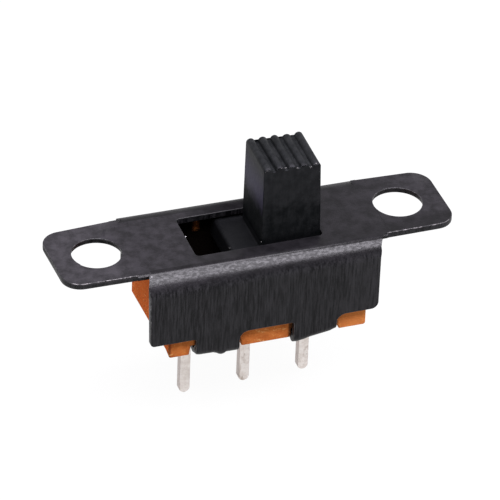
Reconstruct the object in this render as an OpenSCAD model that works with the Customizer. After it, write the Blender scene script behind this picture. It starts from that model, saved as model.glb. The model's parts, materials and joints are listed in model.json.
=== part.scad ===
// Miniature slide switch for a panel: a folded steel frame holds a moulded base with
// three terminals, and a plastic slider carries a spring clip from contact to contact.
// Lengths are in millimetres. The origin is midway between the two screw holes on the
// outer face of the mounting plate; X runs along the plate, Z points out of the panel.

/* [Mounting plate] */
// Distance between the two screw holes
hole_pitch = 15; // [14.5:0.5:20]
// Diameter of each screw hole
hole_d = 2.36; // [1.8:0.02:2.6]
// Distance from a screw hole's centre to the end of the plate
ear_end = 2.2; // [1.8:0.01:3]
// Width of the plate's two ears near their ends
ear_w = 4.42; // [3.8:0.02:5.4]
// Width of the ears beside the folds
ear_root_w = 4.6; // [3.8:0.02:5.6]
// Corner radius of the ears
ear_corner_r = 0.95; // [0.3:0.05:1.4]
// Thickness of the sheet steel
sheet_t = 0.31; // [0.2:0.01:0.4]
// Corner radius of the knob's slot
slot_corner_r = 0.2; // [0.05:0.05:0.4]
// Offset of the knob's slot along the plate
slot_shift = 0.05; // [-0.1:0.01:0.1]

/* [Folded sides] */
// Outer width over the two folded sides
sides_w = 6.3; // [6:0.05:7.5]
// Outer radius of the fold between plate and side
bend_r = 1.1; // [0.6:0.05:1.2]
// Depth of the sides, from the plate's outer face to their lower edge
side_h = 3.65; // [3.2:0.05:3.8]
// Distance from a screw hole's centre to the nearer end of the folds
hole_room = 1.76; // [1.5:0.02:2.2]
// Radius of the sides' lower corners at the +X end
side_corner_big_r = 0.36; // [0.1:0.02:0.6]
// Radius of the sides' lower corners at the -X end
side_corner_small_r = 0.2; // [0.1:0.02:0.6]
// Offset of the folds along the plate
fold_shift = 0.19; // [-0.2:0.01:0.2]
// How far the flat sides sit off their folds, to -X in front and to +X behind
side_skew = 0.28; // [0:0.01:0.3]

/* [Crimp tabs] */
// Width of each crimp tab
tab_w = 2.16; // [1.6:0.02:2.4]
// Distance between the two tabs of one side
tab_pitch = 4.86; // [4.3:0.02:5]
// Radius at the inner root of the tabs, on the side turned to +X in front
tab_root_big_r = 0.44; // [0.2:0.02:0.55]
// Radius at the other root of the tabs
tab_root_small_r = 0.12; // [0.08:0.02:0.4]
// Inside radius of the fold under the base
tab_fold_r = 0.14; // [0.05:0.01:0.25]
// Length of the straight lip past the fold
lip_l = 0.75; // [0.4:0.05:1.2]
// How far the fold lies below the feet of the base
tab_drop = 0.09; // [0:0.01:0.2]
// Gap between the end of the lip and the base
tab_gap = 0.02; // [0.01:0.01:0.05]

/* [Base] */
// Height of the base, from the plate to the underside of its feet
base_h = 4.43; // [4.2:0.01:5]
// Thickness of the end walls
end_wall = 0.37; // [0.25:0.01:0.6]
// Thickness of the side walls
side_wall = 0.5; // [0.4:0.05:0.6]
// Thickness of the floor between the feet
floor_t = 0.95; // [0.7:0.05:1.1]
// Height of the three feet
foot_h = 0.5; // [0.35:0.05:0.6]
// Clear space beside a tab in its recess
recess_room = 0.15; // [0.1:0.05:0.25]
// How much wider a recess is at its mouth, on each side
recess_flare = 0.08; // [0:0.02:0.15]
// Chamfer of the base's lower end edges
base_chamfer = 0.07; // [0.05:0.01:0.25]
// Gap between base and frame
base_gap = 0.05; // [0.03:0.01:0.1]
// Offset of the base along the plate
base_shift = 0.15; // [-0.2:0.01:0.2]
// Corner radius inside the base
cavity_r = 0.3; // [0.1:0.05:0.5]

/* [Terminals] */
// Distance between neighbouring terminals
terminal_pitch = 3; // [2.7:0.05:3.2]
// Width of a terminal's leg
leg_w = 0.53; // [0.4:0.01:0.7]
// Thickness of a terminal
leg_t = 0.43; // [0.3:0.01:0.5]
// Length of the legs below the feet
leg_len = 4.2; // [2:0.05:8]
// Width of the contact blade inside the base
blade_w = 2; // [1.4:0.05:2.2]
// Height of the contact blade above the floor
blade_h = 1.3; // [1:0.05:1.4]
// Corner radius of the contact blade
blade_corner_r = 0.25; // [0.1:0.05:0.5]
// Free space between an outer blade and the end wall
blade_room = 0.57; // [0.4:0.01:0.9]
// Gap around a leg in the floor
leg_gap = 0.02; // [0.01:0.01:0.05]

/* [Knob] */
// Length of the knob at the plate
knob_l = 2.93; // [2.4:0.01:3.2]
// Width of the knob at the plate
knob_w = 2.76; // [2.2:0.02:3]
// Height of the knob above the plate
knob_h = 4.12; // [2:0.01:8]
// Taper of the knob's ends, up to where the outer ridges round off
knob_taper_l = 0.06; // [0:0.01:0.2]
// Taper of the knob's sides, over its whole height
knob_taper_w = 0.045; // [0:0.005:0.2]
// Number of grip ridges across the top
ridges = 5; // [3:1:7]
// Depth of the valleys between the ridges
ridge_depth = 0.25; // [0.15:0.01:0.3]
// Radius of the valleys
valley_r = 0.09; // [0.05:0.01:0.12]
// Chamfer at both ends of the ridges
ridge_chamfer = 0.1; // [0.02:0.01:0.2]
// Gap between knob and slot, at each side
knob_side_gap = 0.18; // [0.05:0.01:0.3]
// Gap between knob and slot, at each end of the travel
knob_end_gap = 0.08; // [0.03:0.01:0.15]

/* [Slider] */
// Travel past one terminal pitch
overtravel = 0.2; // [0:0.05:0.3]
// Thickness of the slider's carriage
carriage_t = 1.1; // [0.8:0.05:1.15]
// Gap between the carriage and the plate
carriage_top_gap = 0.12; // [0.05:0.01:0.2]
// Gap between the carriage and the base, at sides and ends
carriage_gap = 0.06; // [0.04:0.01:0.15]
// Rounding of the carriage's upper end edges
carriage_edge_r = 0.2; // [0.05:0.05:0.4]
// Wall around the clip's pocket
holder_wall = 0.4; // [0.3:0.05:0.6]
// Gap between the holder and the floor
holder_floor_gap = 0.12; // [0.05:0.01:0.3]

/* [Contact clip] */
// Thickness of the spring strip
clip_t = 0.15; // [0.1:0.01:0.2]
// Gap between clip and blade where they meet
clip_gap = 0.04; // [0.02:0.01:0.06]
// Half the width of the clip's back, to the middle of the strip
clip_half_w = 0.52; // [0.45:0.01:0.6]
// Bend radius of the clip's back, to the middle of the strip
clip_bend_r = 0.18; // [0.12:0.01:0.25]
// How far the clip's arms lean inwards down to where they pinch the blades
clip_lean_w = 0.02; // [0:0.01:0.1]
// Height of the part of each arm that leans
clip_lean_h = 0.15; // [0.1:0.01:0.3]
// Height of the straight part below the pinch, before the arms flare
clip_foot_h = 0.1; // [0.05:0.01:0.2]
// Width of the cut between the two fingers of each arm
finger_cut = 0.5; // [0.2:0.05:1]
// Gap around the clip in its pocket
pocket_gap = 0.05; // [0.02:0.01:0.08]

/* [Hidden] */
$fn = 64;
// Extra depth of a cut that has to pass a face
over = 1;

// Along the plate
travel = terminal_pitch + overtravel;
slider_x = slot_shift + travel / 2;
slot_l = knob_l + travel + 2 * knob_end_gap;
plate_l = hole_pitch + 2 * ear_end;
cavity_l = 2 * (terminal_pitch + blade_w / 2 + blade_room);
base_l = cavity_l + 2 * end_wall;
side_l = hole_pitch - 2 * hole_room;
carriage_l = cavity_l - 2 * abs(base_shift - slot_shift) - travel - 2 * carriage_gap;
clip_l = terminal_pitch;
recess_w = tab_w + 2 * recess_room;

// Across the plate
flat_w = sides_w - 2 * bend_r;
slot_w = knob_w + 2 * knob_side_gap;
base_w = sides_w - 2 * sheet_t - 2 * base_gap;
cavity_w = base_w - 2 * side_wall;
carriage_w = cavity_w - 2 * carriage_gap;
pocket_half_w = clip_half_w + clip_t / 2 + pocket_gap;
holder_w = 2 * (pocket_half_w + holder_wall);
clip_pinch = leg_t / 2 + clip_gap + clip_t / 2;

// Heights, all measured from the plate's outer face
feet_z = -sheet_t - base_h;
recess_z = feet_z + foot_h;
floor_z = recess_z + floor_t;
tab_z = feet_z - tab_drop;
fold_r = tab_fold_r + sheet_t;
lip_rise = recess_z - tab_gap - tab_z - fold_r;
lip_angle = atan2(tab_fold_r, lip_l) + asin(lip_rise / norm([tab_fold_r, lip_l]));
blade_z = floor_z + blade_h;
tip_z = feet_z - leg_len;
carriage_z = -sheet_t - carriage_top_gap;
pocket_z = carriage_z - carriage_t;
holder_z = floor_z + holder_floor_gap;
clip_z = pocket_z - pocket_gap;
clip_pinch_z = floor_z + blade_h / 3;
clip_end_z = holder_z + pocket_gap;

// Rectangle from corner to corner
module span(a, b) {
    translate(a) square(b - a);
}

// Rectangle round the origin with rounded corners
module rounded(l, w, r) {
    square([l, w - 2 * r], center = true);
    square([l - 2 * r, w], center = true);
    for (i = [-1, 1], j = [-1, 1]) translate([i * (l / 2 - r), j * (w / 2 - r)]) circle(r);
}

// Sheet bent round a point, from one angle to another
module bend(centre, r, from, to) {
    middle = (from + to) / 2;
    translate(centre) intersection() {
        difference() {
            circle(r);
            circle(r - sheet_t);
        }
        polygon([[0, 0], for (a = [from, middle, to]) 2 * r * [cos(a), sin(a)]]);
    }
}

// A shape drawn in the XZ plane, given a thickness along Y
module along_y(from, to) {
    translate([0, to, 0]) rotate([90, 0, 0]) linear_extrude(to - from) children();
}

// A shape drawn in the YZ plane, given a length along X
module along_x(from, to) {
    translate([from, 0, 0]) rotate([90, 0, 90]) linear_extrude(to - from) children();
}

// Sheet of one folded side in section: fold, flat side, fold under the base, and the lip
// that rises until its end meets the base
module side_section() {
    outer = -sides_w / 2;
    under = [outer + fold_r, tab_z + fold_r];
    bend([outer + bend_r, -bend_r], bend_r, 90, 180);
    span([outer, under[1]], [outer + sheet_t, -bend_r]);
    bend(under, fold_r, 180, 270 + lip_angle);
    translate(under) rotate(lip_angle) span([0, -fold_r], [lip_l, -tab_fold_r]);
}

// Fillet between a side's lower edge and the edge of a tab, turned by a sign
module tab_root(r, turn) {
    translate([turn * tab_w / 2, -side_h]) difference() {
        span([min(0, turn * r), -r], [max(0, turn * r), 0]);
        translate([turn * r, -r]) circle(r);
    }
}

// Outline of one folded side seen from the front: its lower corners and its two tabs
module side_outline(middle) {
    difference() {
        span([-plate_l / 2, -side_h], [plate_l / 2, 0]);
        for (i = [-1, 1]) translate([middle + i * side_l / 2, -side_h]) difference() {
            r = i > 0 ? side_corner_big_r : side_corner_small_r;
            square(2 * r, center = true);
            translate([-i * r, r]) circle(r);
        }
    }
    for (i = [-1, 1]) translate([i * tab_pitch / 2, 0]) {
        span([-tab_w / 2, tab_z - over], [tab_w / 2, -side_h]);
        tab_root(tab_root_big_r, 1);
        tab_root(tab_root_small_r, -1);
    }
}

// Ends of one folded side seen from above: they run askew through the fold, from its
// start at the plate to the flat side
module side_ends(middle) {
    flat_y = sheet_t - sides_w / 2;
    low_y = -sides_w / 2 - over;
    starts = [fold_shift - side_l / 2, fold_shift + side_l / 2];
    ends = [middle - side_l / 2, middle + side_l / 2];
    polygon([[starts[0], 0], [starts[0], -flat_w / 2], [ends[0], flat_y], [ends[0], low_y],
             [ends[1], low_y], [ends[1], flat_y], [starts[1], -flat_w / 2], [starts[1], 0]]);
}

module folded_side(middle) {
    intersection() {
        along_x(-plate_l / 2, plate_l / 2) side_section();
        along_y(-sides_w / 2 - over, 0) side_outline(middle);
        translate([0, 0, tab_z - over]) linear_extrude(2 * over - tab_z) side_ends(middle);
    }
}

// Outline of the flat plate: two ears that widen a little towards the strip between the
// folds
module plate_outline() {
    corner_x = plate_l / 2 - ear_corner_r;
    difference() {
        union() {
            rounded(plate_l, ear_w, ear_corner_r);
            for (i = [-1, 1]) polygon([
                [0, -ear_root_w / 2], [i * side_l / 2, -ear_root_w / 2], [i * corner_x, -ear_w / 2],
                [i * corner_x, ear_w / 2], [i * side_l / 2, ear_root_w / 2], [0, ear_root_w / 2]]);
        }
        for (i = [-1, 1]) translate([fold_shift, i * (flat_w + ear_root_w) / 2]) {
            square([side_l, ear_root_w], center = true);
        }
    }
}

module plate() {
    difference() {
        translate([0, 0, -sheet_t]) linear_extrude(sheet_t) plate_outline();
        translate([slot_shift, 0, -sheet_t - over]) linear_extrude(sheet_t + 2 * over) {
            rounded(slot_l, slot_w, slot_corner_r);
        }
        for (i = [-1, 1]) translate([i * hole_pitch / 2, 0, -sheet_t - over]) {
            cylinder(d = hole_d, h = sheet_t + 2 * over);
        }
    }
}

module mounting_frame() color([0.17, 0.17, 0.18]) {
    plate();
    folded_side(fold_shift - side_skew);
    mirror([0, 1, 0]) folded_side(fold_shift + side_skew);
}

// Outline of the base from the front: chamfered ends and the recesses for the tabs
module base_outline() {
    low = feet_z;
    end = base_l / 2;
    difference() {
        translate([base_shift, 0]) polygon([
            [-end, -sheet_t], [-end, low + base_chamfer], [-end + base_chamfer, low],
            [end - base_chamfer, low], [end, low + base_chamfer], [end, -sheet_t]]);
        for (i = [-1, 1]) translate([i * tab_pitch / 2, 0]) {
            wide = recess_w / 2 + recess_flare * (1 + over / foot_h);
            polygon([[-recess_w / 2, recess_z], [-wide, low - over],
                     [wide, low - over], [recess_w / 2, recess_z]]);
        }
    }
}

// Section of the base: its upper edges are rounded to lie in the frame's folds
module base_section() {
    r = max(bend_r - sheet_t - base_gap, 0.05);
    top = -sheet_t;
    span([-base_w / 2, feet_z - over], [base_w / 2, top - r - base_gap]);
    span([-base_w / 2 + r, top - r - 2 * base_gap], [base_w / 2 - r, top]);
    for (i = [-1, 1]) translate([i * (base_w / 2 - r), top - r - base_gap]) circle(r);
}

module base() color([0.69, 0.4, 0.2]) {
    difference() {
        intersection() {
            along_x(base_shift - base_l / 2, base_shift + base_l / 2) base_section();
            along_y(-base_w / 2, base_w / 2) base_outline();
        }
        translate([base_shift, 0, floor_z]) linear_extrude(over - floor_z) {
            rounded(cavity_l, cavity_w, cavity_r);
        }
        for (i = [-1, 0, 1]) translate([i * terminal_pitch, 0, (feet_z + floor_z) / 2]) {
            cube([leg_w + 2 * leg_gap, leg_t + 2 * leg_gap, floor_z - feet_z + 2 * over],
                 center = true);
        }
    }
}

// One stamped terminal: round-tipped leg, shoulders that sit on the floor, contact blade
module terminal() color([0.83, 0.82, 0.8]) {
    along_y(-leg_t / 2, leg_t / 2) {
        translate([0, tip_z + leg_w / 2]) circle(d = leg_w);
        span([-leg_w / 2, tip_z + leg_w / 2], [leg_w / 2, floor_z]);
        translate([0, floor_z]) difference() {
            span([-blade_w / 2, 0], [blade_w / 2, blade_h]);
            for (i = [-1, 1]) translate([i * blade_w / 2, blade_h]) difference() {
                square(2 * blade_corner_r, center = true);
                translate([-i * blade_corner_r, -blade_corner_r]) circle(blade_corner_r);
            }
        }
    }
}

module terminal_left() translate([-terminal_pitch, 0, 0]) terminal();
module terminal_middle() terminal();
module terminal_right() translate([terminal_pitch, 0, 0]) terminal();

// Distance between ridges of which a row fills the given half length. Ridge and valley
// arcs touch on the line between their centres, and the outer ridges end at the sides.
function ridge_pitch(half_l) =
    let (outer = (ridges - 1) / 2, rest = half_l + valley_r - ridge_depth / 2)
    4 * ridge_depth * (sqrt(pow(outer, 2) + rest / (2 * ridge_depth)) - outer);

// Knob seen from the front: tapered ends and a row of rounded ridges on top, of which the
// outer two run down into the ends
module knob_front() {
    half_top = knob_l / 2 - knob_taper_l;
    pitch = ridge_pitch(half_top);
    crest_r = (pow(pitch / 2, 2) + pow(ridge_depth, 2)) / (2 * ridge_depth) - valley_r;
    crest_z = knob_h - crest_r;
    valley_z = knob_h - ridge_depth + valley_r;
    crests = [for (i = [0:ridges - 1]) (i - (ridges - 1) / 2) * pitch];
    valleys = [for (i = [1:ridges - 1]) (i - ridges / 2) * pitch];
    root_z = carriage_z - carriage_t / 2;
    difference() {
        polygon(concat(
            [[-knob_l / 2, root_z], [-knob_l / 2, 0], [-half_top, crest_z]],
            [for (i = [0:2 * ridges - 2])
                i % 2 == 0 ? [crests[i / 2], crest_z] : [valleys[(i - 1) / 2], valley_z]],
            [[half_top, crest_z], [knob_l / 2, 0], [knob_l / 2, root_z]]));
        for (x = valleys) translate([x, valley_z]) circle(valley_r);
    }
    for (x = crests) translate([x, crest_z]) circle(crest_r);
}

// Knob seen from the end: tapered sides, and the ends of the ridges chamfered
module knob_side() {
    half_top = knob_w / 2 - knob_taper_w;
    root_z = carriage_z - carriage_t / 2;
    edge_z = knob_h - ridge_chamfer;
    polygon([[-knob_w / 2, root_z], [-knob_w / 2, 0], [-half_top, edge_z],
             [-half_top + ridge_chamfer, knob_h], [half_top - ridge_chamfer, knob_h],
             [half_top, edge_z], [knob_w / 2, 0], [knob_w / 2, root_z]]);
}

// Carriage seen from the front: its upper end edges are rounded
module carriage_front() {
    low = carriage_z - carriage_t;
    r = carriage_edge_r;
    span([-carriage_l / 2, low], [carriage_l / 2, carriage_z - r]);
    span([-carriage_l / 2 + r, carriage_z - r], [carriage_l / 2 - r, carriage_z]);
    for (i = [-1, 1]) translate([i * (carriage_l / 2 - r), carriage_z - r]) circle(r);
}

// Holder under the carriage: a pocket for the clip, and a channel that clears the blades
module holder() {
    pocket_l = clip_l + 2 * pocket_gap;
    holder_l = pocket_l + 2 * holder_wall;
    channel_half_w = leg_t / 2 + 3 * clip_gap;
    translate([0, 0, holder_z]) difference() {
        linear_extrude(pocket_z - holder_z) difference() {
            square([holder_l, holder_w], center = true);
            square([pocket_l, 2 * pocket_half_w], center = true);
        }
        translate([0, 0, -over]) linear_extrude(blade_z - holder_z + over + 2 * clip_gap) {
            square([holder_l + 2 * over, 2 * channel_half_w], center = true);
        }
    }
}

module slider() color([0.13, 0.13, 0.14]) translate([slider_x, 0, 0]) {
    intersection() {
        along_y(-knob_w / 2, knob_w / 2) knob_front();
        along_x(-knob_l / 2 - over, knob_l / 2 + over) knob_side();
    }
    along_y(-carriage_w / 2, carriage_w / 2) carriage_front();
    holder();
}

// Points on an arc round a centre, from one angle to another
function arc(centre, r, from, to, steps = 6) =
    [for (i = [0:steps]) let (a = from + (to - from) * i / steps)
        centre + r * [cos(a), sin(a)]];

// Middle line of one arm of the clip in section: back, bend, pinch and flared end
function clip_arm() =
    let (bend_at = [clip_half_w - clip_bend_r, clip_z - clip_t / 2 - clip_bend_r])
    concat([[0, clip_z - clip_t / 2]],
           arc(bend_at, clip_bend_r, 90, 0),
           [[clip_pinch + clip_lean_w, clip_pinch_z + clip_lean_h], [clip_pinch, clip_pinch_z],
            [clip_pinch + clip_lean_w, clip_pinch_z - clip_foot_h],
            [(clip_pinch + clip_half_w) / 2, clip_end_z + clip_t / 2]]);

// Unit normal to the left of a step from a to b
function left_of(a, b) = [a[1] - b[1], b[0] - a[0]] / norm(b - a);

// Points beside a line at half the strip's thickness, on the side given by a sign
function beside(line, s) =
    [for (i = [0:len(line) - 1])
        let (before = left_of(line[max(i - 1, 0)], line[max(i, 1)]),
             after = left_of(line[min(i, len(line) - 2)], line[min(i + 1, len(line) - 1)]))
        line[i] + s * clip_t / (1 + before * after) * (before + after) / 2];

// Section of the clip as one strip of even thickness, from arm's end to arm's end
module clip_section() {
    arm = clip_arm();
    line = concat([for (i = [len(arm) - 1:-1:1]) [-arm[i][0], arm[i][1]]], arm);
    sides = [beside(line, 1), beside(line, -1)];
    polygon(concat(sides[0], [for (i = [len(line) - 1:-1:0]) sides[1][i]]));
}

module contact_clip() color([0.76, 0.55, 0.32]) translate([slider_x, 0, 0]) {
    arm_z = clip_z - clip_t - clip_bend_r;
    difference() {
        along_x(-clip_l / 2, clip_l / 2) clip_section();
        translate([0, 0, arm_z - over]) {
            cube([finger_cut, 2 * clip_half_w + 2 * over, 2 * over], center = true);
        }
    }
}

mounting_frame();
base();
terminal_left();
terminal_middle();
terminal_right();
slider();
contact_clip();
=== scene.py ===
"""A miniature slide switch, dressed over its CAD frame, on a pale studio floor."""
import json
import math

import bmesh
import bpy
from mathutils import Matrix, Vector

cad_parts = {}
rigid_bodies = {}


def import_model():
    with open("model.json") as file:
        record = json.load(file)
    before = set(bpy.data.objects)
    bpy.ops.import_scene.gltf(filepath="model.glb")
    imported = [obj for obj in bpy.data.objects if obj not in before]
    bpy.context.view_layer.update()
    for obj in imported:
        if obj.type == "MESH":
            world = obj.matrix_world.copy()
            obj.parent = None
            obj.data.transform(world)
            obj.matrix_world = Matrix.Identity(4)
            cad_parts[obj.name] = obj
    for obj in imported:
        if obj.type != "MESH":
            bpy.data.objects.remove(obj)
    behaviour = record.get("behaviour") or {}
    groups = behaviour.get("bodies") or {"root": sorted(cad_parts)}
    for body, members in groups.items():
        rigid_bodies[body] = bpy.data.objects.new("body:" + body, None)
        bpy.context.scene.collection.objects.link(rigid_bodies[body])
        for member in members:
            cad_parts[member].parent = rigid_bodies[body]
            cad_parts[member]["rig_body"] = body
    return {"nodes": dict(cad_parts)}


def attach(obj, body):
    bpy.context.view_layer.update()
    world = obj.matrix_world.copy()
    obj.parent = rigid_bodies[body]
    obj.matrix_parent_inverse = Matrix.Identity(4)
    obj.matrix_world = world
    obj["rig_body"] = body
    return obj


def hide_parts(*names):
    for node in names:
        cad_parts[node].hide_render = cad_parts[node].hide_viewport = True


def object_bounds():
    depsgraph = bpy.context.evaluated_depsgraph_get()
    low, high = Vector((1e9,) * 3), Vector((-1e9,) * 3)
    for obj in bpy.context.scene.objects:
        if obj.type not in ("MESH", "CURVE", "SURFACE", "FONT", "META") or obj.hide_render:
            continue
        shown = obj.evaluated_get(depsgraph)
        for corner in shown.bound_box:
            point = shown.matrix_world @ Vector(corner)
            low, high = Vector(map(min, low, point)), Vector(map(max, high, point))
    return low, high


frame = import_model()
cad_box = [list(corner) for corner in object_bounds()]

MM = 0.001

# Camera: where it looks from, its roll, and how far it stands off the origin's line of sight
CAMERA_AZIMUTH = math.radians(20.275)
CAMERA_ELEVATION = math.radians(35.327)
CAMERA_ROLL = math.radians(-2.305)
CAMERA_DISTANCE = 248.394 * MM
CAMERA_RIGHT = 0.082 * MM
CAMERA_UP = -1.081 * MM
CAMERA_CLIP = (0.01, 10.0)
PICTURE_PX = 500
FOCAL_PX = 5272.2
SENSOR_MM = 36.0

# Light: one softbox overhead (m), a lit table, and a surround that is bright low down behind
SOFTBOX_HEIGHT = 0.15
SOFTBOX_X = (-0.10, 0.16)
SOFTBOX_Y = (-0.12, 0.03)
SOFTBOX_RADIANCE = 13.0
SOFTBOX_TINT = (1.0, 0.965, 1.05)
TABLE_HALF = 2.0
TABLE_GAP = 0.02 * MM
TABLE_GLOW = 0.96
TABLE_COLOUR = 0.02
FRONT_SURROUND = 0.2
BACK_SURROUND = 0.6
# The surround goes by direction: it turns from front to behind over this run of the direction's
# Y, and from high to low over this run of its Z
BEHIND_RUN = (-0.1, 0.5)
LOW_RUN = (0.82, 0.62)


class Shader:
    """A node tree with short calls to add and join its nodes."""

    def __init__(self, name):
        self.material = bpy.data.materials.new(name)
        self.material.use_nodes = True
        self.tree = self.material.node_tree
        self.surface = self.tree.nodes["Principled BSDF"]
        self.mapped = {}

    def add(self, kind, settings=None, **inputs):
        """A node with its settings and inputs; an input may be a value or another node's output."""
        node = self.tree.nodes.new(kind)
        for key, value in (settings or {}).items():
            setattr(node, key, value)
        for key, value in inputs.items():
            self.put(node, key.replace("_", " "), value)
        return node

    def put(self, node, key, value):
        """Link an output into a socket, or set the socket to a value."""
        socket = node.inputs[key]
        if isinstance(value, bpy.types.NodeSocket):
            self.tree.links.new(value, socket)
        else:
            socket.default_value = value

    def millimetres(self, stretch=(1.0, 1.0, 1.0)):
        """Object coordinates in millimetres, each axis multiplied by its stretch."""
        if stretch not in self.mapped:
            where = self.add("ShaderNodeTexCoord")
            scale = tuple(s / MM for s in stretch)
            turned = self.add("ShaderNodeMapping", Vector=where.outputs["Object"], Scale=scale)
            self.mapped[stretch] = turned.outputs["Vector"]
        return self.mapped[stretch]

    def axis(self, letter):
        """One object coordinate in millimetres."""
        parts = self.add("ShaderNodeSeparateXYZ", Vector=self.millimetres())
        return parts.outputs[letter]

    def noise(self, scale, detail=3.0, rough=0.55, stretch=(1.0, 1.0, 1.0)):
        """Noise from 0 to 1, with that many waves to the millimetre."""
        node = self.add("ShaderNodeTexNoise", Vector=self.millimetres(stretch),
                        Scale=scale, Detail=detail, Roughness=rough)
        return node.outputs["Fac"]

    def ramp(self, value, low, high, smooth=True):
        """0 where the value is low, 1 where it is high; low may be the larger number."""
        settings = {"interpolation_type": "SMOOTHSTEP" if smooth else "LINEAR"}
        node = self.add("ShaderNodeMapRange", settings)
        for key, given in (("Value", value), ("From Min", low), ("From Max", high)):
            self.put(node, key, given)
        return node.outputs["Result"]

    def band(self, value, start, full, fall, end):
        """A mask that rises from start to full, and falls from fall to end."""
        return self.times(self.ramp(value, start, full), self.ramp(value, end, fall))

    def between(self, fac, low, high):
        """A number from low to high as fac goes from 0 to 1."""
        node = self.add("ShaderNodeMapRange")
        for key, given in (("Value", fac), ("To Min", low), ("To Max", high)):
            self.put(node, key, given)
        return node.outputs["Result"]

    def mix(self, fac, a, b):
        """Colour a where fac is 0, b where it is 1."""
        node = self.add("ShaderNodeMix", {"data_type": "RGBA"})
        for index, value in ((0, fac), (6, a), (7, b)):
            if isinstance(value, bpy.types.NodeSocket) or index == 0:
                self.put(node, index, value)
            else:
                self.put(node, index, (*value, 1.0))
        return node.outputs[2]

    def layered(self, colour, layers):
        """A colour with others laid over it, each through its mask and by its share."""
        for mask, share, over in layers:
            colour = self.mix(self.times(mask, share), colour, over)
        return colour

    def reckon(self, kind, a, b=0.0):
        """One operation of arithmetic on one or two numbers."""
        node = self.add("ShaderNodeMath", {"operation": kind})
        self.put(node, 0, a)
        self.put(node, 1, b)
        return node.outputs[0]

    def times(self, a, b):
        return self.reckon("MULTIPLY", a, b)

    def plus(self, a, b):
        return self.reckon("ADD", a, b)

    def minus(self, a, b):
        return self.reckon("SUBTRACT", a, b)

    def larger(self, a, b):
        return self.reckon("MAXIMUM", a, b)

    def unsigned(self, a):
        return self.reckon("ABSOLUTE", a)

    def rest(self, mask):
        """1 where the mask is 0, 0 where it is 1."""
        return self.minus(1.0, mask)

    def inside(self, low, high, soft):
        """1 inside a box given in millimetres, 0 outside, with soft sides."""
        total = None
        for letter, a, b in zip("XYZ", low, high):
            side = self.band(self.axis(letter), a - soft, a + soft, b - soft, b + soft)
            total = side if total is None else self.times(total, side)
        return total

    def bump(self, height, depth_mm, under=None):
        """Bump from a height of 0 to 1, its full depth given in millimetres."""
        node = self.add("ShaderNodeBump", Height=height, Distance=depth_mm * MM)
        if under is not None:
            self.put(node, "Normal", under)
        return node.outputs["Normal"]

    def finish(self, **inputs):
        """The material, once the surface has its inputs."""
        for key, value in inputs.items():
            self.put(self.surface, key.replace("_", " "), value)
        return self.material


# The sheet (mm): its thickness, half the width over its sides, and the folds' outer radius
SHEET_T = 0.31
HALF_SIDES = 3.15
FOLD_R = 1.1
# From its left end to its right one the front fold tightens, and the rear one widens (mm)
FOLD_LEFT_X = -5.8
FOLD_RIGHT_X = 5.7
FRONT_RIGHT_R = 0.86
REAR_RIGHT_R = 1.33
# Past this distance from the middle, and above this depth, the sheet is an ear, not a fold (mm)
EAR_X = (6.0, 6.2)
EAR_DEPTH = (0.12, 0.08)
# The front half of the sheet turns into the rear one over this run, and no point counts as less
# far out than this (mm)
FRONT_OR_REAR_Y = (-0.1, 0.1)
LEAST_OUTWARD = 0.02


def fold_turn(s):
    """How far round the folds a point lies: 0 on the plate, 1 where the flat side starts."""
    x, y = s.axis("X"), s.axis("Y")
    share = s.ramp(x, FOLD_LEFT_X, FOLD_RIGHT_X, smooth=False)
    right_radius = s.between(s.ramp(y, *FRONT_OR_REAR_Y), FRONT_RIGHT_R, REAR_RIGHT_R)
    radius = s.plus(s.times(share, right_radius), s.times(s.rest(share), FOLD_R))
    outward = s.plus(s.minus(s.unsigned(y), HALF_SIDES), radius)
    down = s.times(s.axis("Z"), -1.0)
    turn = s.reckon("DIVIDE", down, s.larger(outward, LEAST_OUTWARD))
    on_ear = s.times(s.ramp(s.unsigned(x), *EAR_X), s.ramp(down, *EAR_DEPTH))
    return s.times(turn, s.rest(on_ear))


# Masks on the sheet (mm): of two numbers, where the mask is 0 and where it is 1; of four, it
# rises between the first two and falls between the last two
FRONT_TO_REAR_Y = (-1.0, 1.0)
# Painted shade: beside the slot, beyond the knob and behind the knob's left, the plate is painted
# darker as the shade about the knob
BESIDE_SLOT_X = (-5.2, -1.0)
BESIDE_SLOT_Y = (-0.9, -1.7)
BEYOND_KNOB_X = (2.4, 3.4, 5.4, 8.4)
FAR_SHADE_X = (-3.4, -0.4, 0.4, 1.4)
FAR_SHADE_Y = (1.2, 1.7)
# Painted light: out along the left ear the plate is painted paler, for the brighter light it
# catches
LEFT_EAR_X = (-5.6, -7.2)
PALE_STREAKS_X = (2.0, 5.5)
# The same for how far round the folds a point lies
SIDE_TURN = (0.45, 0.75)
# Painted highlight: the band of the folds where the overhead light is mirrored is painted paler and
# speckled
HIGHLIGHT_TURN = (0.11, 0.21, 0.35, 0.47)
# Painted shade: a dark line painted along where the folds start
ROOT_SHADE_TURN = (0.0, 0.03, 0.10, 0.22)
FAR_FOLD_TURN = (0.04, 0.22)
# The painted highlight lies this much further round on the rear fold
REAR_HIGHLIGHT_SHIFT = 0.25
# Colours, in linear red, green and blue; pairs are the darkest and the palest
PLATE_COLOURS = ((0.0052, 0.0048, 0.0056), (0.0128, 0.0118, 0.0137))
# The left ear's paler colours are painted light
EAR_COLOURS = ((0.0080, 0.0074, 0.0086), (0.0210, 0.0194, 0.0222))
SIDE_COLOURS = ((0.0010, 0.0010, 0.0014), (0.0150, 0.0146, 0.0160))
# The painted highlight's colours
HIGHLIGHT_COLOURS = ((0.010, 0.0098, 0.0103), (0.028, 0.0275, 0.0285))
# The black of the painted shade
PAINTED_SHADE_BLACK = (0.0016, 0.0015, 0.0018)
# How strongly the steel mirrors: the plate, what each place adds, and the one number that holds
# where the nodes aren't read
PLATE_SHINE = 0.177
EAR_SHINE = 0.03
SIDE_SHINE = -0.047
HIGHLIGHT_SHINE = (-0.06, 0.06)
STEEL_EVEN_SHINE = 0.15
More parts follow.
